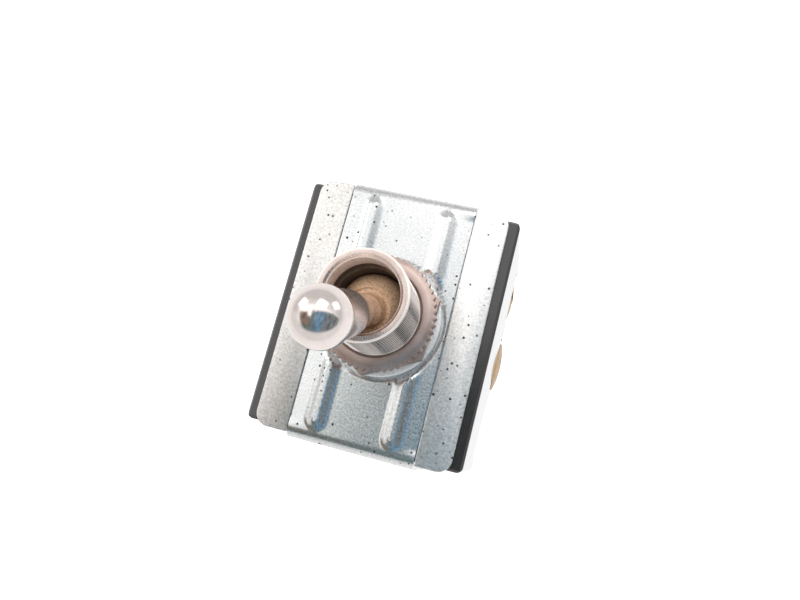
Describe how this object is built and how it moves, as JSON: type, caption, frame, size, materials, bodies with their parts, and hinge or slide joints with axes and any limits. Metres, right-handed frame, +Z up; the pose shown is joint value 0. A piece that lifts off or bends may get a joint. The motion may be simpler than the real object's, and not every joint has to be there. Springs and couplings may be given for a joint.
{
  "type": "toggle switch",
  "caption": "Heavy-duty panel toggle switch with a ball-tipped metal lever in a threaded bushing, a folded steel saddle over a black housing, and screw terminals.",
  "frame": {"origin": "centre of the footprint, on the bushing axis, in the plane of the terminals' lower ends", "axes": "+Z up the bushing; +X to the right, from pole to pole, along the lever's pivot pin; +Y to the back, the way the lever goes when it is thrown from the stored position"},
  "size_m": [0.0326, 0.0382, 0.0625],
  "materials": {
    "zinc_plate": "bright zinc plate",
    "nickel_plate": "nickel plate",
    "phenolic": "moulded, semi-gloss",
    "ivory_plastic": "moulded",
    "steel": "plain",
    "brass": "plain",
    "silver": "silver-faced, matt"
  },
  "bodies": {
    "base": {"saddle": "zinc_plate", "cover_plate": "zinc_plate", "housing": "phenolic", "bushing": "nickel_plate", "washer": "zinc_plate", "hex_nut": "nickel_plate", "knurled_nut": "nickel_plate", "fulcrum_post_left": "brass", "fulcrum_post_right": "brass", "fixed_contacts_left": "silver", "fixed_contacts_right": "silver", "terminal_left_front": "brass", "terminal_left_centre": "brass", "terminal_left_back": "brass", "terminal_right_front": "brass", "terminal_right_centre": "brass", "terminal_right_back": "brass", "terminal_screws": "brass"},
    "lever": {"lever": "nickel_plate", "pivot_pin": "steel", "actuator": "ivory_plastic", "plunger_spring_left": "steel", "plunger_spring_right": "steel"},
    "rocker_left": {"rocker_left": "brass", "rocker_contacts_left": "silver"},
    "rocker_right": {"rocker_right": "brass", "rocker_contacts_right": "silver"},
    "plunger_left": {"plunger_left": "ivory_plastic"},
    "plunger_right": {"plunger_right": "ivory_plastic"}
  },
  "joints": [
    {"name": "lever_tilt", "type": "hinge", "parent": "base", "child": "lever", "pos_m": [0, 0, 0.0364], "axis": [-1, 0, 0], "range_deg": [0, 28]},
    {"name": "rocker_left_tilt", "type": "hinge", "parent": "base", "child": "rocker_left", "pos_m": [-0.00785, 0, 0.0136], "axis": [1, 0, 0], "range_deg": [0, 14]},
    {"name": "rocker_right_tilt", "type": "hinge", "parent": "base", "child": "rocker_right", "pos_m": [0.00785, 0, 0.0136], "axis": [1, 0, 0], "range_deg": [0, 14]},
    {"name": "plunger_left_slide", "type": "slide", "parent": "lever", "child": "plunger_left", "axis": [0, -0.2419, 0.9703], "range_m": [0, 0.0015], "stiffness_N_per_m": 800, "springref_m": -0.002, "deforming": ["plunger_spring_left"]},
    {"name": "plunger_right_slide", "type": "slide", "parent": "lever", "child": "plunger_right", "axis": [0, -0.2419, 0.9703], "range_m": [0, 0.0015], "stiffness_N_per_m": 800, "springref_m": -0.002, "deforming": ["plunger_spring_right"]}
  ],
  "couplings": [
    {"joint": "rocker_left_tilt", "follows": "lever_tilt", "ratio": 0.5},
    {"joint": "rocker_right_tilt", "follows": "lever_tilt", "ratio": 0.5}
  ]
}
